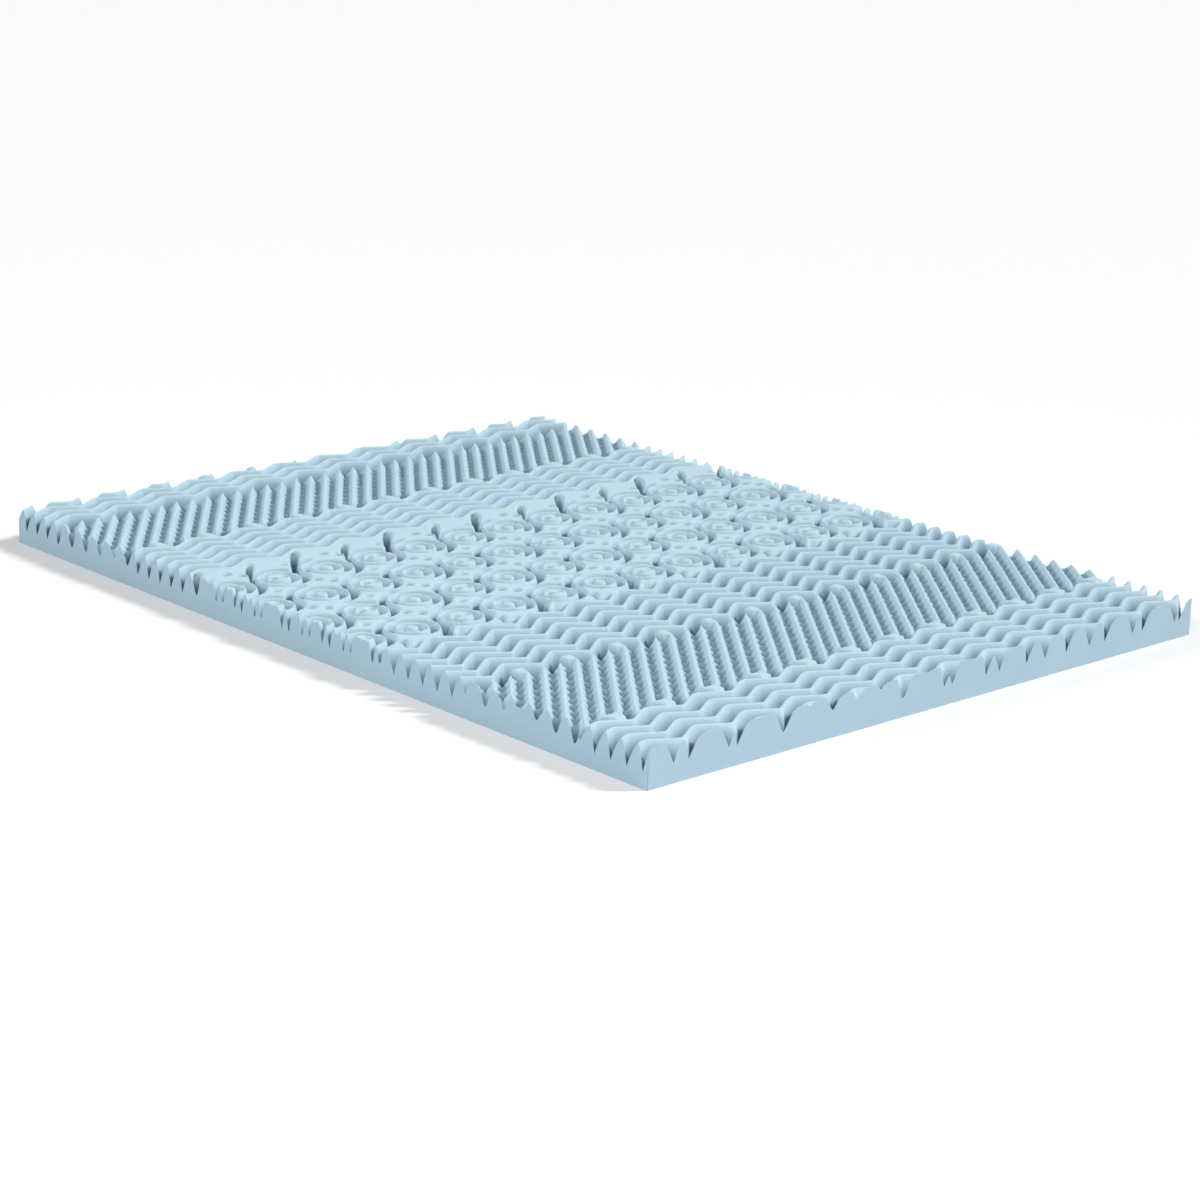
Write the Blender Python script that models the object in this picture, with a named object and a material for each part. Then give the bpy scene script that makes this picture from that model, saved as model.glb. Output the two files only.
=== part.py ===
"""Seven-zone convoluted foam mattress topper: one slab with a carved upper face.

Metres, +Z up.  The origin is under the middle of the slab, +X runs along its length.
The upper face is one height formula.  Its crests and valleys are laid out as points,
the points are joined by a triangulation that keeps every ridge line, and the sides
and the flat underside are drawn down from its rim.
"""
import math

import bmesh
import bpy
import numpy as np
from mathutils import Vector
from mathutils.geometry import delaunay_2d_cdt

NAME = "mattress_topper"
LENGTH = 2.032
WIDTH = 1.524
CREST = 0.079          # height of the ridges and peaks
FLOOR = 0.031          # height of the deepest cuts
REPEAT = 0.127         # the whole pattern repeats across the width at this step
SKEW = 0.0344          # lean of the pattern against the trimmed outline, u per y

# Places along the pattern are u, from the far short end; places across are v, from one side.
ZIGZAG = {             # zone: first crest, count and pitch of the ridges, v of a tip, how far
                       # a ridge swings, and how sharply it turns there, 1 for a corner
    1: dict(first=-0.0200, count=4, pitch=0.0410, tip=0.1210, swing=0.0160, turn=0.92),
    3: dict(first=0.4243, count=6, pitch=0.0404, tip=0.0955, swing=0.0160, turn=0.92),
    5: dict(first=1.2882, count=6, pitch=0.0435, tip=0.0508, swing=0.0212, turn=0.98),
    7: dict(first=1.8576, count=6, pitch=0.0422, tip=0.0896, swing=0.0160, turn=0.92),
}
LEAN = 0.0110          # tips of a valley lie this far across from those of the crests beside it
HALVINGS = 20          # steps in the search for a place on the flank of a ridge
CREST_POWER = 0.9      # below 1 for a ridge a little fuller than a cosine
CRATES = {             # zone: step of the ribs along u and a rib's u and v, the same of a rung
    2: dict(period=0.0529, first=0.2960, v=0.060, rungs=0.0600, rung=0.3000),
    6: dict(period=0.0503, first=1.7100, v=0.026, rungs=0.0592, rung=1.7000),
}
RIBS = 3               # ribs in one repeat
RIB_CLEARANCE = 0.012  # least distance of the points of a rib from the crest of a ridge
RIB_STEP = 1.25        # rungs between two points on the top of a rib
RUNG_COUNT = 40        # rungs and ribs to either side that reach every corner of a band
RUNG_HEIGHT = 0.62     # height of the rungs between the ribs, 1 at a crest and 0 at the floor
RIB_FULLNESS = 0.15    # share of the steep-sided section in a rib, the rest is a cosine
ROSE_U = 0.762         # u of the first column of rosettes
ROSE_PITCH = 0.145
ROSE_V = 0.1285
ROSE_COLUMNS = 4
BANDS = {              # zone: lines where the ribs or the rosettes start and end
    2: (0.1300, 0.4020),
    4: (0.6234, 1.2800),
    6: (1.5350, 1.8360),
}
TIPS = range(-3, 28)   # tips of a ridge, two in a repeat, that reach past both sides
REPEATS = range(-2, 13)  # repeats of the pattern that reach past both sides
BAND_EDGE = 0.014      # length over which a band rises to its full height
TABS = [(0.409, 0.078), (1.531, 0.118), (1.838, 0.080)]  # u and v of the level tabs beside ridges
TAB_SIZE = (0.042, 0.035)
TAB_EDGE = 0.005
RIM_POINTS = (136, 102)  # points along one long side and one short side
GAP_BAND = (0.650, 1.264)  # from u to u, where points fill the gaps between the rosettes
GAP_STEP = REPEAT / 6
GAP_CLEARANCE = 0.010  # least distance of these points from the crest of a ridge
GAP_SPACING = 0.015    # and from any other point
SLOTS = [              # cuts beside the rosettes, once in two repeats: from u, v to u, v
    dict(start=(0.636, 0.264), end=(0.706, 0.211), width=0.0125, depth=0.97),
    dict(start=(0.650, 0.134), end=(0.700, 0.098), width=0.0110, depth=0.92),
    dict(start=(1.240, 0.189), end=(1.266, 0.166), width=0.0110, depth=0.85),
]


# ---- the height formula ---------------------------------------------------------------
def meander(v, row):
    """Sideways place of a zigzag line: a triangle wave with rounded tips."""
    wave = np.arcsin(row["turn"] * np.cos(2 * np.pi * (v - row["tip"]) / REPEAT))
    return row["swing"] * wave / math.asin(row["turn"])


def valley_run(row):
    """From a crest to the valley after it, halfway to the next crest where both run out."""
    slope = 2 * row["swing"] / (REPEAT / 2)
    return row["pitch"] / 2 - slope * LEAN


def flank(u, v, row, crest, run):
    """How far down a flank a place is: 0 on this crest and 1 in the valley at this run."""
    low, high = np.zeros_like(u), np.ones_like(u)
    for _ in range(HALVINGS):
        middle = (low + high) / 2
        line = crest * row["pitch"] + row["first"] + middle * run
        before = (u - line - meander(v + middle * LEAN, row)) * run > 0
        low, high = np.where(before, middle, low), np.where(before, high, middle)
    return high


def zigzag(u, v, zone):
    """Rounded crests and sharp valleys, 0 beyond the valleys of the outer ridges."""
    row = ZIGZAG[zone]
    before = np.floor((u - row["first"] - meander(v, row)) / row["pitch"])
    level = np.zeros_like(u)
    run = valley_run(row)
    for crest, to_valley in ((before, run), (before + 1, run - row["pitch"])):
        here = np.cos(np.pi / 2 * flank(u, v, row, crest, to_valley)) ** CREST_POWER
        level = np.maximum(level, np.where((crest >= 0) & (crest < row["count"]), here, 0))
    return level


def crate_phases(u, v, zone):
    row = CRATES[zone]
    across = (v - row["v"]) * RIBS / REPEAT
    return (u - row["first"]) / row["period"] + across, (u - row["rung"]) / row["rungs"] - across


def crate_place(rib, rung, zone):
    """The u and v at which the two phases have these values."""
    row = CRATES[zone]
    offset = row["first"] / row["period"] + row["rung"] / row["rungs"]
    u = (rib + rung + offset) / (1 / row["period"] + 1 / row["rungs"])
    return u, row["v"] + (rib - (u - row["first"]) / row["period"]) * REPEAT / RIBS


def ribs(u, v, zone):
    rib_phase, rung_phase = crate_phases(u, v, zone)
    wave = 0.5 + 0.5 * np.cos(2 * np.pi * rib_phase)
    rib = (1 - RIB_FULLNESS) * wave + RIB_FULLNESS * np.sqrt(wave)
    return rib + (1 - rib) * RUNG_HEIGHT * (1 - np.abs(np.sin(np.pi * rung_phase)))


def groove(distance, width):
    """A V cut with flanks that round off to the crest, 1 on its line."""
    return 1 - np.sin(0.5 * np.pi * np.minimum(np.abs(distance) / width, 1))


def ramp(value, low, high):
    t = np.clip((value - low) / (high - low), 0, 1)
    return t * t * (3 - 2 * t)


RINGS_A = [(0.021, 0.80, 0.0115), (0.044, 0.90, 0.0115)]       # radius, depth, width
RINGS_D = [(0.034, 0.85, 0.0115), (0.057, 0.92, 0.0115)]
SLOT_RADIUS, SLOT_DEPTH, SLOT_WIDTH = 0.0675, 0.97, 0.012
SLOT_ANGLE = math.atan2(REPEAT, ROSE_PITCH)
ARC_TURNS = (-0.42, -0.14, 0.14, 0.42)  # points on a slot, as turns from its middle
POINTS_A = [(0.0210, 6), (0.0325, 8), (0.0440, 10), (0.0555, 11)]  # radius, points on the ring
POINTS_D = [(0.0225, 6), (0.0340, 8), (0.0455, 10), (0.0570, 11)]
EYE_D = 0.013          # the two eyes of a D rosette stand this far from its centre
CELL_PITS = 0.0155     # and the two pits of a cell this far from the cell's centre


def rosette_cuts(x, y, is_a):
    radius = np.hypot(x, y)
    turn = np.abs((np.arctan2(y, x) - SLOT_ANGLE + np.pi / 2) % np.pi - np.pi / 2)
    arc = 1 - ramp(turn, 0.52, 0.90)
    waist = 1 - 0.25 * (1 - ramp(turn, 0.03, 0.18))
    a_cuts = [0.30 * groove(radius, 0.006)]
    a_cuts += [depth * groove(radius - ring, width) for ring, depth, width in RINGS_A]
    a_cuts += [SLOT_DEPTH * groove(radius - SLOT_RADIUS, SLOT_WIDTH) * arc * waist]
    d_cuts = [0.75 * groove(np.hypot(x, np.abs(y) - EYE_D), 0.0115)]
    d_cuts += [depth * groove(radius - ring, width) for ring, depth, width in RINGS_D]
    return np.where(is_a, np.maximum.reduce(a_cuts), np.maximum.reduce(d_cuts))


def cell_cuts(x, y, is_pitted):
    size = math.hypot(ROSE_PITCH, REPEAT)
    along = (ROSE_PITCH * x + REPEAT * y) / size
    aside = (ROSE_PITCH * y - REPEAT * x) / size
    pits = 0.80 * groove(np.hypot(np.abs(along) - CELL_PITS, aside), 0.0125)
    dimple = 0.25 * groove(np.hypot(along, aside), 0.010)
    return np.where(is_pitted, pits, dimple)


def slot_cut(u, v, start, end, width, depth):
    """A straight cut between two places, once in every two repeats."""
    run_u, run_v = end[0] - start[0], end[1] - start[1]
    length = math.hypot(run_u, run_v)
    x = u - (start[0] + end[0]) / 2
    y = (v - (start[1] + end[1]) / 2 + REPEAT) % (2 * REPEAT) - REPEAT
    along = np.abs(x * run_u + y * run_v) / length
    aside = (x * run_v - y * run_u) / length
    return depth * groove(np.hypot(np.maximum(along - length / 2, 0), aside), width)


def rosettes(u, v):
    column, row = (u - ROSE_U) / ROSE_PITCH, (v - ROSE_V) / REPEAT
    cut = np.zeros_like(u)
    for j in (np.floor(column), np.floor(column) + 1):
        for n in (np.floor(row), np.floor(row) + 1):
            here = rosette_cuts(u - ROSE_U - ROSE_PITCH * j, v - ROSE_V - REPEAT * n, (j + n) % 2 == 1)
            inside = (j >= 0) & (j < ROSE_COLUMNS)
            cut = np.maximum(cut, np.where(inside, here, 0))
    j, n = np.round(column - 0.5), np.round(row - 0.5)
    here = cell_cuts(u - ROSE_U - ROSE_PITCH * (j + 0.5), v - ROSE_V - REPEAT * (n + 0.5), (j + n) % 2 == 0)
    return 1 - np.maximum.reduce([cut, here] + [slot_cut(u, v, **slot) for slot in SLOTS])


def tab(u, v, middle):
    """A level tab with steep sides, once in every repeat."""
    y = np.abs((v - middle[1] + REPEAT / 2) % REPEAT - REPEAT / 2)
    x = np.abs(u - middle[0])
    level = 0.97
    for away, size in ((x, TAB_SIZE[0]), (y, TAB_SIZE[1])):
        level = level * (1 - ramp(away, size / 2 - TAB_EDGE, size / 2 + TAB_EDGE))
    return level


def height(x, y):
    """Height of the carved face over x from the far end and y from one side."""
    u, v = x + SKEW * (y - WIDTH / 2), y
    level = np.maximum.reduce([zigzag(u, v, zone) for zone in ZIGZAG])
    for zone, (start, end) in BANDS.items():
        pattern = rosettes(u, v) if zone == 4 else ribs(u, v, zone)
        line = u - meander(v, ZIGZAG[3]) if zone == 4 else u
        inside = ramp(line, start, start + BAND_EDGE) * (1 - ramp(u, end - BAND_EDGE, end))
        level = np.maximum(level, pattern * inside)
    for middle in TABS:
        level = np.maximum(level, tab(u, v, middle))
    return FLOOR + (CREST - FLOOR) * level


# ---- the points and lines that the face is drawn through --------------------------------
class Layout:
    """Points in the plan, and the lines between them that stay edges."""

    def __init__(self):
        self.points, self.edges = [], []

    def inside(self, x, y, margin):
        return margin < x < LENGTH - margin and margin < y < WIDTH - margin

    def free(self, x, y, distance):
        return all((x - a) ** 2 + (y - b) ** 2 > distance ** 2 for a, b in self.points)

    def add(self, u, v, margin=0.005):
        x = u - SKEW * (v - WIDTH / 2)
        if not self.inside(x, v, margin):
            return None
        self.points.append((x, v))
        return len(self.points) - 1

    def line(self, places, closed=False):
        """Add the points of a line and the edges between neighbours that are inside."""
        marks = [self.add(u, v) for u, v in places]
        pairs = list(zip(marks, marks[1:] + marks[:1])) if closed else list(zip(marks, marks[1:]))
        self.edges += [pair for pair in pairs if None not in pair]


def in_band(u):
    return any(start < u < end for start, end in BANDS.values())


def lay_zigzags(layout):
    """A line along each crest and valley, and points in the valleys beside a zone."""
    for row in ZIGZAG.values():
        tips = [row["tip"] + REPEAT / 2 * m for m in TIPS]
        swings = [float(meander(tip, row)) for tip in tips]
        for crest in range(-1, row["count"]):
            mean = row["first"] + row["pitch"] * crest
            valley = mean + valley_run(row)
            if crest >= 0:
                layout.line([(mean + swing, tip) for swing, tip in zip(swings, tips)])
            places = [(valley + swing, tip - LEAN) for swing, tip in zip(swings, tips)]
            if 0 <= crest < row["count"] - 1:
                layout.line(places)
            else:
                for u, v in places:
                    if not in_band(u):
                        layout.add(u, v)


def clear_of_ridges(u, v, distance):
    """Whether a place is at this distance from the outer crests of every zone of ridges."""
    for row in ZIGZAG.values():
        first = row["first"] + float(meander(v, row))
        last = first + row["pitch"] * (row["count"] - 1)
        if first - distance < u < last + distance:
            return False
    return True


def lay_ribs(layout):
    """Lines along the tops of the ribs and along the channels between them."""
    for zone in CRATES:
        start, end = BANDS[zone]
        for half_rib in range(-2 * RUNG_COUNT, 2 * RUNG_COUNT):
            line = []
            step = RIB_STEP if half_rib % 2 == 0 else 0.5
            for k in range(int(2 * RUNG_COUNT / step)):
                u, v = crate_place(half_rib / 2, k * step - RUNG_COUNT, zone)
                if start + BAND_EDGE < u < end - BAND_EDGE and clear_of_ridges(u, v, RIB_CLEARANCE):
                    line.append((u, v))
            layout.line(line)


def lay_slots(layout):
    for slot in SLOTS:
        middle = [(a + b) / 2 for a, b in zip(slot["start"], slot["end"])]
        for m in REPEATS[::2]:
            places = (slot["start"], middle, slot["end"])
            layout.line([(u, v + REPEAT * m) for u, v in places])


def lay_tabs(layout):
    for u, v in TABS:
        across, along = TAB_SIZE[1] / 2, TAB_SIZE[0] / 2
        for m in REPEATS:
            for su, sv in ((-1, -1), (1, -1), (1, 1), (-1, 1)):
                layout.add(u + su * (along - TAB_EDGE), v + REPEAT * m + sv * (across - TAB_EDGE))


def ring_places(u, v, radius, count, turn=0.0):
    angles = [2 * math.pi * (k + turn) / count for k in range(count)]
    return [(u + radius * math.cos(a), v + radius * math.sin(a)) for a in angles]


def lay_rosettes(layout):
    """Rings of points on the valleys and crests of the rosettes, and their middles."""
    for j in range(ROSE_COLUMNS):
        for n in REPEATS:
            u, v = ROSE_U + ROSE_PITCH * j, ROSE_V + REPEAT * n
            is_a = (j + n) % 2 == 1
            for k, (radius, count) in enumerate(POINTS_A if is_a else POINTS_D):
                layout.line(ring_places(u, v, radius, count, 0.5 * (k % 2)), closed=True)
            if is_a:
                layout.add(u, v)
                for middle in (SLOT_ANGLE, SLOT_ANGLE + math.pi):
                    arc = [middle + turn for turn in ARC_TURNS]
                    places = [(SLOT_RADIUS * math.cos(a), SLOT_RADIUS * math.sin(a)) for a in arc]
                    layout.line([(u + du, v + dv) for du, dv in places])
            else:
                layout.add(u, v + EYE_D)
                layout.add(u, v - EYE_D)
            if j < ROSE_COLUMNS - 1:
                cell_u, cell_v = u + ROSE_PITCH / 2, v + REPEAT / 2
                size = math.hypot(ROSE_PITCH, REPEAT) / CELL_PITS
                for sign in (-1, 0, 1) if (j + n) % 2 == 0 else (0,):
                    layout.add(cell_u + sign * ROSE_PITCH / size, cell_v + sign * REPEAT / size)


def lay_rim(layout):
    """The outline, with the points that its notches need, as closed edges."""
    along, across = RIM_POINTS
    places = [(LENGTH * k / along, 0.0) for k in range(along)]
    places += [(LENGTH, WIDTH * k / across) for k in range(across)]
    places += [(LENGTH - LENGTH * k / along, WIDTH) for k in range(along)]
    places += [(0.0, WIDTH - WIDTH * k / across) for k in range(across)]
    first = len(layout.points)
    layout.points += places
    marks = list(range(first, first + len(places)))
    layout.edges += list(zip(marks, marks[1:] + marks[:1]))
    return marks


def lay_gaps(layout):
    """Points on an even grid where the rosettes leave their band bare."""
    for i in range(int((GAP_BAND[1] - GAP_BAND[0]) / GAP_STEP) + 1):
        for j in range(1, int(WIDTH / GAP_STEP) + 1):
            u, v = GAP_BAND[0] + GAP_STEP * i, GAP_STEP * j
            x = u - SKEW * (v - WIDTH / 2)
            if clear_of_ridges(u, v, GAP_CLEARANCE) and layout.free(x, v, GAP_SPACING):
                layout.add(u, v, 0.008)


def make_topper():
    layout = Layout()
    lay_zigzags(layout)
    lay_ribs(layout)
    lay_tabs(layout)
    lay_slots(layout)
    lay_rosettes(layout)
    lay_rim(layout)
    lay_gaps(layout)
    plan = [Vector(point) for point in layout.points]
    flat, _, faces, _, _, _ = delaunay_2d_cdt(plan, layout.edges, [], 1, 0.00001)
    x = np.array([point.x for point in flat])
    y = np.array([point.y for point in flat])
    z = height(x, y)
    mesh = bmesh.new()
    verts = [mesh.verts.new((a - LENGTH / 2, b - WIDTH / 2, c)) for a, b, c in zip(x, y, z)]
    for face in faces:
        mesh.faces.new([verts[k] for k in face])
    draw_down(mesh)
    return mesh


def draw_down(mesh):
    """Close the carved face with four plane sides and a plane underside."""
    rim = [vert for vert in mesh.verts if vert.is_boundary]
    half_length, half_width = LENGTH / 2, WIDTH / 2
    turn = [(-1, -1), (1, -1), (1, 1), (-1, 1)]
    feet = [mesh.verts.new((sx * half_length, sy * half_width, 0)) for sx, sy in turn]
    for k, foot in enumerate(feet):
        following = feet[(k + 1) % 4]
        axis = 0 if k % 2 == 0 else 1
        other = 1 - axis
        side = [vert for vert in rim if abs(vert.co[other] - foot.co[other]) < 1e-6]
        side.sort(key=lambda vert: abs(vert.co[axis] - following.co[axis]))
        mesh.faces.new([foot, following] + side)
    mesh.faces.new(feet[::-1])
    bmesh.ops.recalc_face_normals(mesh, faces=mesh.faces)


def foam_material():
    material = bpy.data.materials.new("blue_foam")
    material.use_nodes = True
    shader = material.node_tree.nodes["Principled BSDF"]
    shader.inputs["Base Color"].default_value = (0.39, 0.56, 0.66, 1)
    shader.inputs["Roughness"].default_value = 0.92
    shader.inputs["Metallic"].default_value = 0
    return material


def main():
    for item in list(bpy.data.objects):
        bpy.data.objects.remove(item)
    group = bpy.data.collections.new(NAME)
    bpy.context.scene.collection.children.link(group)
    mesh = make_topper()
    data = bpy.data.meshes.new("foam_topper")
    mesh.to_mesh(data)
    mesh.free()
    data.materials.append(foam_material())
    group.objects.link(bpy.data.objects.new("foam_topper", data))


main()
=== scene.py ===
# %% [markdown]
# # A carved foam mattress topper
#
# The real thing is one slab of open-cell foam, cut to the outline of a queen mattress. Its
# upper face is carved in seven zones: rows of zigzag ridges, two bands of egg-crate, and a
# middle band of ringed rosettes. Nothing is sewn on or glued on, so the whole look is one
# shape and one finish.
#
# The frame that is loaded here holds the slab as a plain faceted solid. This lesson builds a
# finer one in its place, gives it the skin of cut foam, and lights it softly.

# %% Loading the frame
import math
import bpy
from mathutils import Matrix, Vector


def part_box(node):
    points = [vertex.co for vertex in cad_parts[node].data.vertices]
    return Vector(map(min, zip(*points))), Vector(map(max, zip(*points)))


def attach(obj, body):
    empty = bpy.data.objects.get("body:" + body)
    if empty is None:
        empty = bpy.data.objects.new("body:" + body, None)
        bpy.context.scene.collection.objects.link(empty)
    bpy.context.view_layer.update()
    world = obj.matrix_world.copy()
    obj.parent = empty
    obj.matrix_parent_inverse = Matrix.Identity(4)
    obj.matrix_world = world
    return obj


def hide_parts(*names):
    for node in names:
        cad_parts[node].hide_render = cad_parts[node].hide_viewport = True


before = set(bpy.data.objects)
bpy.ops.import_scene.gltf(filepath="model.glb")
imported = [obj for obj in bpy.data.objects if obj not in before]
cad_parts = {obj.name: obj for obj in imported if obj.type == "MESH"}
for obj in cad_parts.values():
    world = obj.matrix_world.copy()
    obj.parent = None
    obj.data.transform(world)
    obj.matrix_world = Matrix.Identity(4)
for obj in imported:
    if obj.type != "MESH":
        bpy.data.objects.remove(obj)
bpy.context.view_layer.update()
print("nodes in the frame:", sorted(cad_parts))

import bpy
import bmesh
from mathutils import Matrix, Vector

# %% Reading the slab's sizes
slab_low, slab_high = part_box("foam_topper")
LENGTH = slab_high[0] - slab_low[0]
WIDTH = slab_high[1] - slab_low[1]
CREST = slab_high[2] - slab_low[2]
FLOOR = 0.031
print("slab", round(LENGTH, 4), "by", round(WIDTH, 4), "by", round(CREST, 4), "m")

# %% [markdown]
# ## Sums that build nodes
#
# The carving follows a rule, so a Geometry Nodes tree can work it out for every point of a
# grid. Written by hand, such a tree is hundreds of Math nodes. Here one small class wraps a
# socket and stands in for a number in a Python sum: every plus, minus or product adds the
# node that does it. The finish uses the same class later.

# %% A socket that takes part in sums
class Wire:
    """An output socket that can be added, multiplied and so on as if it were a number."""

    def __init__(self, graph, socket):
        self.graph = graph
        self.socket = socket

    def __add__(self, other):
        return self.graph.maths("ADD", self, other)

    def __radd__(self, other):
        return self.graph.maths("ADD", other, self)

    def __sub__(self, other):
        return self.graph.maths("SUBTRACT", self, other)

    def __rsub__(self, other):
        return self.graph.maths("SUBTRACT", other, self)

    def __mul__(self, other):
        return self.graph.maths("MULTIPLY", self, other)

    def __rmul__(self, other):
        return self.graph.maths("MULTIPLY", other, self)

    def __truediv__(self, other):
        return self.graph.maths("DIVIDE", self, other)


# %% A tree with one way to add a node
class Graph:
    """A node tree. add() makes any node: its settings first, then its sockets."""

    def __init__(self, tree):
        self.tree = tree

    def add(self, kind, settings=None, sockets=None):
        node = self.tree.nodes.new(kind)
        for name, value in (settings or {}).items():
            setattr(node, name, value)
        for name, value in (sockets or {}).items():
            self.feed(node, name, value)
        return node

    def feed(self, node, name, value):
        if isinstance(value, Wire):
            self.tree.links.new(value.socket, node.inputs[name])
        else:
            node.inputs[name].default_value = value

    def out(self, node, name=0):
        return Wire(self, node.outputs[name])

    def maths(self, operation, *terms):
        settings = {"operation": operation}
        return self.out(self.add("ShaderNodeMath", settings, dict(enumerate(terms))))


# %% Functions for the sums
def sine(wire):
    return wire.graph.maths("SINE", wire)


def cosine(wire):
    return wire.graph.maths("COSINE", wire)


def arcsine(wire):
    return wire.graph.maths("ARCSINE", wire)


def root(wire):
    return wire.graph.maths("SQRT", wire)


def size_of(wire):
    return wire.graph.maths("ABSOLUTE", wire)


def nearest(wire):
    return wire.graph.maths("FLOOR", wire + 0.5)


def whole(wire):
    return wire.graph.maths("FLOOR", wire)


def larger(one, other):
    return one.graph.maths("MAXIMUM", one, other)


def smaller(one, other):
    return one.graph.maths("MINIMUM", one, other)


def between(wire, low, high):
    return smaller(larger(wire, low), high)


def step(wire, start, end):
    """0 before start, 1 past end, and a smooth rise between."""
    rise = between((wire - start) / (end - start), 0.0, 1.0)
    return rise * rise * (3.0 - 2.0 * rise)


# %% [markdown]
# ## The zigzag ridges
#
# On the real slab a profiled roller squeezes the foam against a blade, so what is pressed
# in springs back as a hollow. In four of the seven zones that leaves wavering ridges: the
# section has rounded crests, nearly straight flanks and sharp valleys, and every ridge
# swings to and fro once in each repeat of the pattern. The blade also drags the foam, so a
# valley turns a little sooner than the crest before it, and one flank of each turn is steep.
# The repeat fits twelve times across the slab, and the pattern is turned on it by two degrees.

# %% Zigzag ridges
REPEAT = 0.127  # how wide one repeat of the pattern is, across the slab
REPEATS = 12
SKEW = 0.0344  # how much the pattern is turned on the slab, as a slope
CREST_ROUND = 0.14  # how round a crest is, as a share of half the pitch
BELLY = 0.75  # 0 for a section with straight flanks, 1 for a wave
DEEP_TURN = 0.995  # how sharply a valley turns, 1 for a corner
DRAG = 0.0080  # a valley turns this far across the slab before its crest does

# one row for each zone of ridges: where its first crest runs, how many there are, their
# pitch, the place across the slab where a ridge swings out, how far it swings, and how
# sharply its crest turns there, 1 for a corner
RIDGES = {
    1: dict(first=-0.0200, count=4, pitch=0.0410, tip=0.1210, swing=0.0160, turn=0.92),
    3: dict(first=0.4243, count=6, pitch=0.0404, tip=0.0955, swing=0.0160, turn=0.92),
    5: dict(first=1.2882, count=6, pitch=0.0435, tip=0.0508, swing=0.0212, turn=0.98),
    7: dict(first=1.8576, count=6, pitch=0.0422, tip=0.0896, swing=0.0160, turn=0.92),
}
print("ridges in each zone:", {zone: row["count"] for zone, row in RIDGES.items()})


def waver(v, zone, deep):
    """How far along the slab a zone's ridges have swung: on a crest at deep 0, and with
    sharper turns in a valley, at deep 1."""
    row = RIDGES[zone]
    turn = row["turn"] + deep * (DEEP_TURN - row["turn"])
    wave = cosine((v - row["tip"]) * (2 * math.pi / REPEAT))
    return arcsine(wave * turn) / arcsine(turn) * row["swing"]


def down_flank(place, zone):
    """How far down a flank a column lies: 0 on a crest, 1 in a valley and beyond the zone."""
    row = RIDGES[zone]
    phase = (place - row["first"]) / row["pitch"]
    crest = between(nearest(phase), 0.0, row["count"] - 1)
    return smaller(size_of(phase - crest) * 2.0, 1.0)


def section(away):
    """A ridge's section: 1 on its crest and 0 in the valley."""
    reach = math.sqrt(1 + CREST_ROUND ** 2) - CREST_ROUND
    straight = 1.0 - (root(away * away + CREST_ROUND ** 2) - CREST_ROUND) / reach
    return straight * (1 - BELLY) + cosine(away * (math.pi / 2)) * BELLY


# %% [markdown]
# ## The egg-crate bands
#
# Slanting ribs run from one zone of ridges to the next, three in each repeat. Low sharp
# rungs cross every channel between two ribs, so a row of deep cups lies along it.

# %% Egg-crate
RIBS = 3  # in each repeat

# one row for each band: the pitch of its ribs along the slab and where the first one is,
# where it starts across the slab, the pitch of its rungs and where the first one is
CRATES = {
    2: dict(period=0.0529, first=0.2960, start=0.060, rungs=0.0600, rung=0.3000),
    6: dict(period=0.0503, first=1.7100, start=0.026, rungs=0.0592, rung=1.7000),
}
RUNG_HEIGHT = 0.70  # how high a rung stands in its channel, as a share of a rib's height
RUNG_ROUND = 0.02
RIB_FLAT = 0.30  # how much wider a rib is over its top than a wave
print("ribs", round(CRATES[2]["period"], 4), "m apart, rungs",
      round(CRATES[2]["rungs"], 4), "m apart along the slab")


def sharp_rim(phase):
    """A sharp rim: 1 along whole phases, 0 halfway between."""
    wave = sine(phase * math.pi)
    edge = math.sqrt(RUNG_ROUND)
    reach = math.sqrt(1 + RUNG_ROUND) - edge
    return 1.0 - (root(wave * wave + RUNG_ROUND) - edge) / reach


def rib_section(phase):
    """A rib: round over its top, with steep sides."""
    wave = cosine(phase * (2 * math.pi)) * 0.5 + 0.5
    return wave * (1.0 - RIB_FLAT) + root(wave) * RIB_FLAT


def egg_crate(u, v, period, first, start, rungs, rung):
    across = (v - start) * (RIBS / REPEAT)
    rib = rib_section((u - first) / period + across)
    step_up = sharp_rim((u - rung) / rungs - across)
    return rib + (1.0 - rib) * step_up * RUNG_HEIGHT


# %% [markdown]
# ## The rosettes
#
# The middle band carries two kinds of rosette in a chequer: one with a dimple in the middle
# of three ring valleys, the other with two eyes in the middle of two. The outer ring of the
# first kind isn't closed: it is cut deepest toward its neighbours of the same kind. Small
# pits and dimples fill the cells between four rosettes.

# %% Rosettes
ROSE_FIRST = 0.762  # the first rosette's middle along the slab
ROSE_START = 0.1285  # and across it
ROSE_PITCH = 0.145
TURN = math.atan2(REPEAT, ROSE_PITCH)  # the direction of the next rosette of a kind
WIDENING = 0.50  # 0 for valleys with a sharp bottom, 1 for round ones
SMALLEST = 0.0005  # no length is divided by less than this

# each row is a ring valley: its radius, its half width and its depth
RINGS_ONE = [
    dict(radius=0.0210, half=0.0115, depth=0.85),
    dict(radius=0.0440, half=0.0118, depth=0.92),
]
OUTER_ONE = dict(radius=0.0675, half=0.0120, depth=0.97)
RINGS_TWO = [
    dict(radius=0.0340, half=0.0115, depth=0.88),
    dict(radius=0.0570, half=0.0118, depth=0.95),
]

# the outer ring fades out between these shares of the way round from its neighbour, and
# is a little shallower close to it
ARC_ENDS = (0.50, 0.78)
ARC_DIPS = (0.03, 0.18)
ARC_LEAST = 0.72

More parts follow.
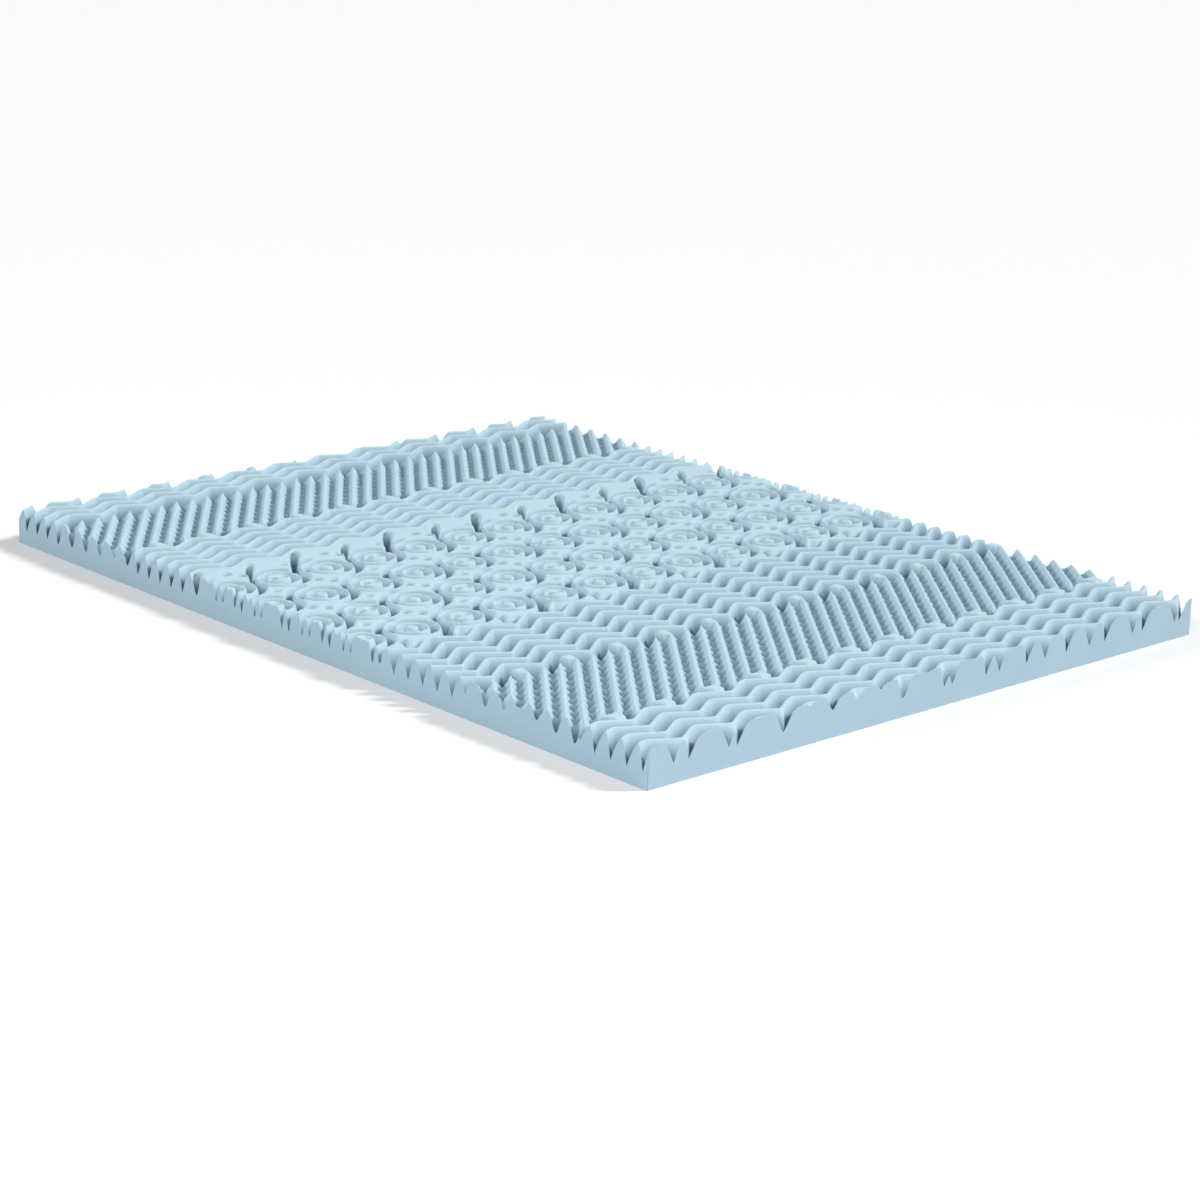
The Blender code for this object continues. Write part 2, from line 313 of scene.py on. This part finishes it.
# the hollows: how far each is from the middle, its half width and its depth
MIDDLE = dict(half=0.006, depth=0.3)
EYE_OFF = 0.013
EYE_HOLE = dict(half=0.0115, depth=0.75)
PIT_OFF = 0.0165
PIT = dict(half=0.0150, depth=0.95)
DIMPLE = dict(half=0.014, depth=0.45)


def groove(away, half, depth):
    """A valley with a narrow bottom and crests that round over."""
    inside = smaller(size_of(away) * (1 / half), 1.0)
    sharp = 1.0 - sine(inside * (math.pi / 2))
    wide = cosine(inside * math.pi) * 0.5 + 0.5
    return (sharp * (1 - WIDENING) + wide * WIDENING) * depth


def distance(x, y):
    return root(x * x + y * y)


def toward(x, y, angle):
    """How far round from a direction, as 0 along it and 1 square to it."""
    across = x * math.sin(angle) - y * math.cos(angle)
    return size_of(across) / larger(distance(x, y), SMALLEST)


def rose_one(x, y):
    """The rosette with the middle dimple: how deep it is cut at x, y from its middle."""
    r = distance(x, y)
    cut = groove(r, **MIDDLE)
    for ring in RINGS_ONE:
        cut = larger(cut, groove(r - ring["radius"], ring["half"], ring["depth"]))
    side = toward(x, y, TURN)
    full = ARC_LEAST + step(side, *ARC_DIPS) * (1 - ARC_LEAST)
    arc = (1.0 - step(side, *ARC_ENDS)) * full
    outer = groove(r - OUTER_ONE["radius"], OUTER_ONE["half"], OUTER_ONE["depth"])
    return larger(cut, outer * arc)


def rose_two(x, y):
    """The rosette with the two eyes."""
    cut = groove(distance(x, size_of(y) - EYE_OFF), **EYE_HOLE)
    r = distance(x, y)
    for ring in RINGS_TWO:
        cut = larger(cut, groove(r - ring["radius"], ring["half"], ring["depth"]))
    return cut


def pits(x, y):
    """Two pits in the cell between rosettes of the second kind on the one diagonal."""
    along = x * math.cos(TURN) + y * math.sin(TURN)
    across = y * math.cos(TURN) - x * math.sin(TURN)
    return groove(distance(size_of(along) - PIT_OFF, across), **PIT)


def dimple(x, y):
    return groove(distance(x, y), **DIMPLE)


print("rosettes", ROSE_PITCH, "m apart, the widest",
      round(2 * (OUTER_ONE["radius"] + OUTER_ONE["half"]), 3), "m over its outer ring")

# %% Cuts beside the rosettes
# one row for each straight cut, made once in every two repeats: from one place to another
SLOTS = [
    dict(start=(0.636, 0.264), end=(0.706, 0.211), half=0.0125, depth=0.97),
    dict(start=(0.650, 0.134), end=(0.700, 0.098), half=0.0110, depth=0.92),
    dict(start=(1.240, 0.189), end=(1.266, 0.166), half=0.0110, depth=0.85),
]


def slot(u, v, start, end, half, depth):
    run = (end[0] - start[0], end[1] - start[1])
    length = math.hypot(*run)
    away = (v - (start[1] + end[1]) / 2) / (2 * REPEAT)
    y = (away - nearest(away)) * (2 * REPEAT)
    x = u - (start[0] + end[0]) / 2
    along = (x * run[0] + y * run[1]) / length
    aside = (x * run[1] - y * run[0]) / length
    return groove(distance(larger(size_of(along) - length / 2, 0.0), aside), half, depth)


# %% The lattice of rosettes
def from_nearest(u, v, column, row, low, last):
    """The place from the nearest middle of a lattice that skips every other middle."""
    columns = (u - (ROSE_FIRST + column * ROSE_PITCH)) / (2 * ROSE_PITCH)
    rows = (v - (ROSE_START + row * REPEAT)) / (2 * REPEAT)
    x = (columns - between(nearest(columns), low, last)) * (2 * ROSE_PITCH)
    y = (rows - nearest(rows)) * (2 * REPEAT)
    return x, y


def rosettes(u, v):
    cut = None
    for shape, places in (
        (rose_one, ((0, 1, 0, 1), (1, 0, 0, 1))),
        (rose_two, ((0, 0, 0, 1), (1, 1, 0, 1))),
        (pits, ((0.5, 0.5, 0, 1), (1.5, 1.5, -1, 1))),
        (dimple, ((0.5, 1.5, 0, 1), (1.5, 0.5, -1, 1))),
    ):
        for column, row, low, last in places:
            x, y = from_nearest(u, v, column, row, low, last)
            here = shape(x, y)
            cut = here if cut is None else larger(cut, here)
    for row in SLOTS:
        cut = larger(cut, slot(u, v, **row))
    return 1.0 - cut


# %% [markdown]
# ## Joining the seven zones
#
# The ribs end along straight lines across the slab, while the ridge beside them swings to
# and fro. So the two touch where the ridge swings near, and a deep pocket opens between
# them where it swings away. The rosettes run on from the last ridge before them.

# %% Zones
BANDS = [
    dict(kind="crate", zone=2, start=0.1300, end=0.4020),
    dict(kind="rose", zone=4, start=0.6234, end=1.2800),
    dict(kind="crate", zone=6, start=1.5350, end=1.8360),
]
BAND_EDGE = 0.014  # how far in a band's pattern grows to its full height

# level tabs where a finger of egg-crate runs into the first ridge of the next zone, one in
# every repeat: the middle, and the size along and across
TABS = [
    dict(middle=(0.409, 0.078), size=(0.044, 0.034)),
    dict(middle=(1.531, 0.118), size=(0.036, 0.034)),
    dict(middle=(1.838, 0.080), size=(0.040, 0.036)),
]
TAB_EDGE = 0.005
TAB_LEVEL = 0.97


def tab(u, v, middle, size):
    away = (v - middle[1]) / REPEAT
    y = size_of(away - nearest(away)) * REPEAT
    x = size_of(u - middle[0])
    inside = 1.0 - step(x, size[0] / 2 - TAB_EDGE, size[0] / 2 + TAB_EDGE)
    return inside * (1.0 - step(y, size[1] / 2 - TAB_EDGE, size[1] / 2 + TAB_EDGE))


def carving(place, u, v):
    """The carved face, 0 at the deepest and 1 on the crests."""
    face = section(down_flank(place, 1))
    for zone in (3, 5, 7):
        face = larger(face, section(down_flank(place, zone)))
    for band in BANDS:
        rosy = band["kind"] == "rose"
        pattern = rosettes(u, v) if rosy else egg_crate(u, v, **CRATES[band["zone"]])
        line = u - waver(v, 3, down_flank(place, 3)) if rosy else u
        inside = step(line, band["start"], band["start"] + BAND_EDGE)
        inside = inside * (1.0 - step(u, band["end"] - BAND_EDGE, band["end"]))
        face = larger(face, pattern * inside)
    for row in TABS:
        face = larger(face, tab(u, v, **row) * TAB_LEVEL)
    return face


# %% A rim along the front edge
# a rim is left along the front edge: how far in it reaches, how shallow a hollow it
# closes, and the height that is left under the deepest notch in it
RIM_REACH = 0.014
RIM_CLOSES = 0.35
RIM_NOTCH = 0.15
print("front rim", RIM_REACH, "m wide")


def rimmed(face, to_front):
    """The face, with shallower notches where the front edge is near."""
    notch = larger(1.0 - RIM_CLOSES - face, 0.0) * ((1 - RIM_NOTCH) / (1 - RIM_CLOSES))
    share = 1.0 - step(to_front, 0.0, RIM_REACH)
    return face * (1.0 - share) + (1.0 - notch) * share


# %% [markdown]
# ## The grid that carries the carving
#
# A plain square grid would saw at the ridges. So the columns of this one swing with the
# ridges: in a zone of ridges they lie along crests and valleys, ten to a pitch, and a
# column alone tells the height of a ridge. Between zones the swing fades out. The sheet is
# made a little too large, and is trimmed to the slab afterwards, as a maker trims a block
# of foam.

# %% Columns of the grid
ROWS_IN_REPEAT = 28
ROW_START = -0.020  # where the rows are counted from, a place that is close to turns
SPARE_ROWS = 9  # beyond each long side, to be trimmed off
ROWS = REPEATS * ROWS_IN_REPEAT + 2 * SPARE_ROWS
CROWDING = 0.6  # how much closer the rows lie at the turns of the ridges

# how many columns there are in each zone, from the far end, and the borders between them
COLUMNS_IN = {1: 40, 2: 60, 3: 60, 4: 160, 5: 60, 6: 72, 7: 60}
COLUMNS = sum(COLUMNS_IN.values())


def ends_of(zone):
    """Where a zone of ridges starts and ends, in the valleys beside its outer crests."""
    row = RIDGES[zone]
    start = row["first"] - row["pitch"] / 2
    return start, start + row["count"] * row["pitch"]


BORDERS = [end for zone in RIDGES for end in ends_of(zone)]
print("grid of", COLUMNS, "columns and", ROWS, "rows, borders at",
      [round(border, 3) for border in BORDERS])


def column_place(column):
    """Where a column lies along the slab before it swings."""
    place = BORDERS[0]
    passed = 0
    for zone, start, end in zip(COLUMNS_IN, BORDERS, BORDERS[1:]):
        part = between((column - passed) / COLUMNS_IN[zone], 0.0, 1.0)
        place = place + part * (end - start)
        passed += COLUMNS_IN[zone]
    return place


# %% Columns that swing and rows that crowd
SWING_FADE = 0.050  # how far beyond a zone of ridges the columns still swing


def swung(place, even):
    """Where a point of the sheet goes, its column at this place and its row at this v."""
    turns = 4 * math.pi / REPEAT
    crowd = sine((even - ROW_START) * turns) * (CROWDING / turns)
    u = place
    v = even
    for zone, row in RIDGES.items():
        start, end = ends_of(zone)
        share = step(place, start - SWING_FADE, start)
        share = share * (1.0 - step(place, end, end + SWING_FADE))
        deep = down_flank(place, zone)
        drag = deep * DRAG
        slope = row["swing"] / (REPEAT / 4)
        to_turn = (row["tip"] - ROW_START + REPEAT / 4) % (REPEAT / 2) - REPEAT / 4
        moved = even + to_turn - crowd
        u = u + share * (waver(moved, zone, deep) - drag * slope)
        v = v + share * (moved - even - drag)
    return u, v


# %% The tree that carves the sheet
def carving_tree(material):
    tree = bpy.data.node_groups.new("carved_sheet", "GeometryNodeTree")
    for name, kind in (
        ("Length", "NodeSocketFloat"),
        ("Width", "NodeSocketFloat"),
        ("Crest height", "NodeSocketFloat"),
        ("Floor height", "NodeSocketFloat"),
        ("Foam", "NodeSocketMaterial"),
    ):
        tree.interface.new_socket(name, in_out="INPUT", socket_type=kind)
    tree.interface.new_socket("Sheet", in_out="OUTPUT", socket_type="NodeSocketGeometry")
    graph = Graph(tree)
    given = graph.add("NodeGroupInput")
    length = graph.out(given, "Length")
    width = graph.out(given, "Width")
    crest = graph.out(given, "Crest height")
    floor = graph.out(given, "Floor height")

    grid = graph.add("GeometryNodeMeshGrid", None, {
        "Vertices X": COLUMNS + 1, "Vertices Y": ROWS + 1,
    })
    index = graph.out(graph.add("GeometryNodeInputIndex"))
    column = whole((index + 0.5) / (ROWS + 1))
    row = index - column * (ROWS + 1)
    even = (row - SPARE_ROWS) * (REPEAT / ROWS_IN_REPEAT) + ROW_START
    place = column_place(column)
    u, v = swung(place, even)
    x = u - (v - width * 0.5) * SKEW
    rise = rimmed(carving(place, u, v), length - x)
    spot = graph.add("ShaderNodeCombineXYZ", None, {
        "X": x - length * 0.5,
        "Y": v - width * 0.5,
        "Z": floor + (crest - floor) * rise,
    })
    moved = graph.add("GeometryNodeSetPosition", None, {
        "Geometry": graph.out(grid, "Mesh"), "Position": graph.out(spot),
    })
    kept = graph.add("GeometryNodeStoreNamedAttribute",
                     {"data_type": "FLOAT", "domain": "POINT"},
                     {"Geometry": graph.out(moved), "Name": "rise", "Value": rise})
    real = graph.add("GeometryNodeRealizeInstances", None, {"Geometry": graph.out(kept)})
    coated = graph.add("GeometryNodeSetMaterial", None, {
        "Geometry": graph.out(real), "Material": graph.out(given, "Foam"),
    })
    graph.add("NodeGroupOutput", None, {"Sheet": graph.out(coated)})
    print("the tree has", len(tree.nodes), "nodes")
    return tree


# %% [markdown]
# ## The skin of cut foam
#
# Cut foam is matt and pale. Shade is painted into its colour: it is deeper in the valleys and
# on the cut sides, and paler on the crests.
# Close up it is a mesh of tiny open cells, with a few larger ones, and painted shade darkens
# their hollows. The saw that trims the sides leaves faint bands there.

# %% Foam finish
# painted shade: the colour deep in the hollows of the carving, where it would lie in shade
FOAM_SHADED = (0.085, 0.165, 0.285, 1.0)
FOAM_PALE = (0.435, 0.600, 0.680, 1.0)
# the painted shade fades from the shaded colour to the pale one between these heights
SHADED_TO_PALE = (0.05, 0.95)  # the heights between which the colour changes
# painted shade on the cut sides: they take this share between the shaded colour and the pale
# one
SIDE_SHADE = 0.72  # the cut sides, between deep at 0 and pale at 1
UPRIGHT = (0.02, 0.08)  # a face is a cut side if it faces up by less than this

# how large the things in the foam are, in metres, and how much each changes its tone: cloud
# and grain at random, cells and pores by painted shade in their hollows
CLOUD_SIZE = 1 / 7
GRAIN_SIZE = 0.0042
CELL_SIZE = 0.0016
PORE_SIZE = 0.0075
PORE_RIM = (0.05, 0.16)
CLOUD_TONE = 0.12
GRAIN_TONE = 0.14
CELL_SHADE = 0.06
PORE_SHADE = 0.22
SAW_BANDS = (3.0, 3.0, 260.0)  # bands to the metre, each way


def foam_finish():
    material = bpy.data.materials.new("cut_blue_foam")
    material.use_nodes = True
    graph = Graph(material.node_tree)
    shader = material.node_tree.nodes["Principled BSDF"]
    place = graph.out(graph.add("ShaderNodeTexCoord"), "Object")

    rise = graph.out(graph.add("ShaderNodeAttribute", {"attribute_name": "rise"}), "Fac")
    cloud = graph.out(graph.add("ShaderNodeTexNoise", None, {
        "Vector": place, "Scale": 1 / CLOUD_SIZE, "Detail": 3.0, "Roughness": 0.6}), "Fac")
    grain = graph.out(graph.add("ShaderNodeTexNoise", None, {
        "Vector": place, "Scale": 1 / GRAIN_SIZE, "Detail": 4.0, "Roughness": 0.7}), "Fac")
    cells = graph.out(graph.add("ShaderNodeTexVoronoi", {"feature": "F1"}, {
        "Vector": place, "Scale": 1 / CELL_SIZE}), "Distance")
    pores = graph.out(graph.add("ShaderNodeTexVoronoi", {"feature": "F1"}, {
        "Vector": place, "Scale": 1 / PORE_SIZE}), "Distance")
    pore = 1.0 - step(pores, *PORE_RIM)

    facing = graph.out(graph.add("ShaderNodeNewGeometry"), "True Normal")
    parts = graph.add("ShaderNodeSeparateXYZ", None, {"Vector": facing})
    # painted shade: faces that stand upright are the cut sides, and take the darker side
    # colour
    side = 1.0 - step(size_of(graph.out(parts, "Z")), *UPRIGHT)
    # painted shade: low places take the shaded colour; the cloud and grain below are the
    # foam's own random tone
    tone = step(rise, *SHADED_TO_PALE) * (1.0 - side) + side * SIDE_SHADE
    tone = tone + (cloud - 0.5) * CLOUD_TONE + (grain - 0.5) * GRAIN_TONE
    pale = between(tone, 0.0, 1.0)
    tint = graph.add("ShaderNodeMix", {"data_type": "RGBA"}, {0: pale})
    tint.inputs[6].default_value = FOAM_SHADED
    tint.inputs[7].default_value = FOAM_PALE
    # painted shade in the hollows of the cells and pores, which the bump below also sinks
    hollow_shade = 1.0 - pore * PORE_SHADE - (1.0 - cells) * CELL_SHADE
    toned = graph.add("ShaderNodeVectorMath", {"operation": "SCALE"}, {
        0: Wire(graph, tint.outputs[2]), "Scale": hollow_shade})
    graph.feed(shader, "Base Color", graph.out(toned))
    graph.feed(shader, "Roughness", 0.80 + (grain - 0.5) * 0.16 + pore * 0.08)

    bands = graph.out(graph.add("ShaderNodeMapping", None, {
        "Vector": place, "Scale": SAW_BANDS}))
    saw = graph.out(graph.add("ShaderNodeTexNoise", None, {
        "Vector": bands, "Scale": 1.0, "Detail": 2.0}), "Fac")
    relief = grain * 0.5 + cells * 0.35 - pore * 0.9 + saw * 0.35
    bump = graph.add("ShaderNodeBump", None, {
        "Height": relief, "Strength": 0.45, "Distance": 0.0012})
    graph.feed(shader, "Normal", graph.out(bump))
    shader.inputs["Specular IOR Level"].default_value = 0.25
    shader.inputs["Sheen Weight"].default_value = 0.12
    shader.inputs["Sheen Roughness"].default_value = 0.6
    print("the finish has", len(material.node_tree.nodes), "nodes")
    return material


foam = foam_finish()

# %% [markdown]
# ## From a sheet to a slab
#
# The modifier's result becomes a plain mesh. Four planes trim it to the slab's outline, its
# rim is drawn straight down to the underside, and the underside is one flat face.

# %% Evaluating the tree
def carved_sheet(material):
    mesh = bpy.data.meshes.new("sheet_start")
    start = bpy.data.objects.new("sheet_start", mesh)
    bpy.context.scene.collection.objects.link(start)
    modifier = start.modifiers.new("carving", "NODES")
    tree = carving_tree(material)
    modifier.node_group = tree
    given = {"Length": LENGTH, "Width": WIDTH, "Crest height": CREST, "Floor height": FLOOR,
             "Foam": material}
    for item in tree.interface.items_tree:
        if item.item_type == "SOCKET" and item.in_out == "INPUT":
            modifier[item.identifier] = given[item.name]
    bpy.context.view_layer.update()
    result = bpy.data.meshes.new_from_object(
        start.evaluated_get(bpy.context.evaluated_depsgraph_get()))
    start.modifiers.remove(modifier)
    bpy.data.objects.remove(start)
    bpy.data.node_groups.remove(tree)
    return result


sheet = carved_sheet(foam)
print("sheet:", len(sheet.vertices), "points")

# %% Trimming the sheet and closing the slab
TOUCHING = 0.00001  # a point this close to a trimming plane is on it
# the underside takes the painted shade of this height
RISE_BELOW = 0.35  # the tone of the underside, as a height in the carving


def closed_slab(mesh):
    work = bmesh.new()
    work.from_mesh(mesh)
    half = Vector((LENGTH / 2, WIDTH / 2, 0))
    for axis in (Vector((1, 0, 0)), Vector((0, 1, 0))):
        for side in (1, -1):
            everything = work.verts[:] + work.edges[:] + work.faces[:]
            bmesh.ops.bisect_plane(work, geom=everything, dist=TOUCHING,
                                   plane_co=half * side, plane_no=axis * side,
                                   clear_outer=True)
    bmesh.ops.triangulate(work, faces=work.faces[:], quad_method="SHORT_EDGE")
    rim = [edge for edge in work.edges if edge.is_boundary]
    drawn = bmesh.ops.extrude_edge_only(work, edges=rim)["geom"]
    low = [part for part in drawn if isinstance(part, bmesh.types.BMVert)]
    rise = work.verts.layers.float["rise"]
    for vert in low:
        vert.co.z = 0.0
        vert[rise] = RISE_BELOW
    under = [edge for edge in work.edges if edge.is_boundary]
    bmesh.ops.contextual_create(work, geom=under)
    bmesh.ops.recalc_face_normals(work, faces=work.faces[:])
    for face in work.faces:
        face.smooth = True
    for edge in rim + under:
        edge.smooth = False
    work.to_mesh(mesh)
    work.free()


closed_slab(sheet)
sheet.name = "topper_foam"
topper = bpy.data.objects.new("topper_foam", sheet)
bpy.context.scene.collection.objects.link(topper)
sheet.calc_loop_triangles()
print("slab:", len(sheet.loop_triangles), "triangles")

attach(topper, "root")
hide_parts("foam_topper")

# %% [markdown]
# ## Floor, light and camera
#
# The slab lies on a plain white floor under a very large soft light, as in a daylight
# studio, so only the hollows of the carving hold shade. Three wide sources and a panel give
# that light a side. The camera stands where the photograph's did: a place, a turn and a
# lens that put the slab's four corners and its repeats where the photograph has them.

# %% Floor
FLOOR_WHITE = (0.86, 0.86, 0.86, 1.0)
FLOOR_REACH = 20.0


def floor_finish():
    material = bpy.data.materials.new("white_floor")
    material.use_nodes = True
    shader = material.node_tree.nodes["Principled BSDF"]
    shader.inputs["Base Color"].default_value = FLOOR_WHITE
    shader.inputs["Roughness"].default_value = 0.9
    shader.inputs["Specular IOR Level"].default_value = 0.1
    return material


work = bmesh.new()
bmesh.ops.create_grid(work, x_segments=1, y_segments=1, size=FLOOR_REACH)
floor_mesh = bpy.data.meshes.new("studio_floor")
work.to_mesh(floor_mesh)
work.free()
floor_mesh.materials.append(floor_finish())
studio_floor = bpy.data.objects.new("studio_floor", floor_mesh)
bpy.context.scene.collection.objects.link(studio_floor)
print("floor", 2 * FLOOR_REACH, "m wide")

# %% Light from all round
DOME_STRENGTH = 0.36
world = bpy.data.worlds.new("studio_dome")
bpy.context.scene.world = world
world.use_nodes = True
dome = world.node_tree.nodes["Background"]
dome.inputs["Color"].default_value = (1.0, 1.0, 1.0, 1.0)
dome.inputs["Strength"].default_value = DOME_STRENGTH

# %% Soft sources
# one row for each soft source: the side it shines from, in degrees round from the slab's
# length, its height above the floor and its width in degrees, and its strength
SOURCES = [
    dict(name="low_front", round=312.0, above=30.0, wide=24.0, strength=0.4),
    dict(name="high_right", round=55.0, above=38.0, wide=14.0, strength=2.8),
    dict(name="low_left", round=228.0, above=24.0, wide=24.0, strength=1.3),
]
SOURCE_AWAY = 4.0

for source in SOURCES:
    lamp = bpy.data.lights.new(source["name"], "SUN")
    lamp.angle = math.radians(source["wide"])
    lamp.energy = source["strength"]
    holder = bpy.data.objects.new(source["name"], lamp)
    bpy.context.scene.collection.objects.link(holder)
    turned = math.radians(source["round"])
    raised = math.radians(source["above"])
    toward_source = Vector((math.cos(turned) * math.cos(raised),
                            math.sin(turned) * math.cos(raised), math.sin(raised)))
    holder.location = toward_source * SOURCE_AWAY
    holder.rotation_euler = (-toward_source).to_track_quat("-Z", "Y").to_euler()

# %% A panel over the near corner
# so that the light falls off toward the far end
PANEL_SIZE = 1.4
PANEL_POWER = 24.0
PANEL_PLACE = Vector((2.0, -2.0, 2.6))
PANEL_AIM = Vector((0.8, -0.4, 0.0))
panel = bpy.data.lights.new("near_panel", "AREA")
panel.size = PANEL_SIZE
panel.energy = PANEL_POWER
panel_holder = bpy.data.objects.new("near_panel", panel)
bpy.context.scene.collection.objects.link(panel_holder)
panel_holder.location = PANEL_PLACE
toward_slab = PANEL_AIM - PANEL_PLACE
panel_holder.rotation_euler = toward_slab.to_track_quat("-Z", "Y").to_euler()
print("lights:", len(SOURCES), "soft sources and a panel", round(toward_slab.length, 2),
      "m from the slab")

# %% Camera
EYE = Vector((4.7392, -4.2965, 1.8609))
YAW = math.radians(137.5008)
PITCH = math.radians(16.4505)
ROLL = math.radians(1.5141)
LENS = 93.77
SENSOR = 36.0

look = Vector((math.cos(YAW) * math.cos(PITCH), math.sin(YAW) * math.cos(PITCH),
               -math.sin(PITCH)))
level_right = look.cross(Vector((0, 0, 1))).normalized()
level_up = level_right.cross(look)
right = level_right * math.cos(ROLL) + level_up * math.sin(ROLL)
up = level_up * math.cos(ROLL) - level_right * math.sin(ROLL)
lens = bpy.data.cameras.new("photo_camera")
lens.lens = LENS
lens.sensor_width = SENSOR
lens.clip_end = 60.0
camera = bpy.data.objects.new("photo_camera", lens)
bpy.context.scene.collection.objects.link(camera)
camera.matrix_world = Matrix((
    (right.x, up.x, -look.x, EYE.x),
    (right.y, up.y, -look.y, EYE.y),
    (right.z, up.z, -look.z, EYE.z),
    (0, 0, 0, 1),
))
bpy.context.scene.camera = camera
bpy.context.scene.view_settings.view_transform = "Standard"
print("camera", round(EYE.length, 2), "m from the slab's middle")
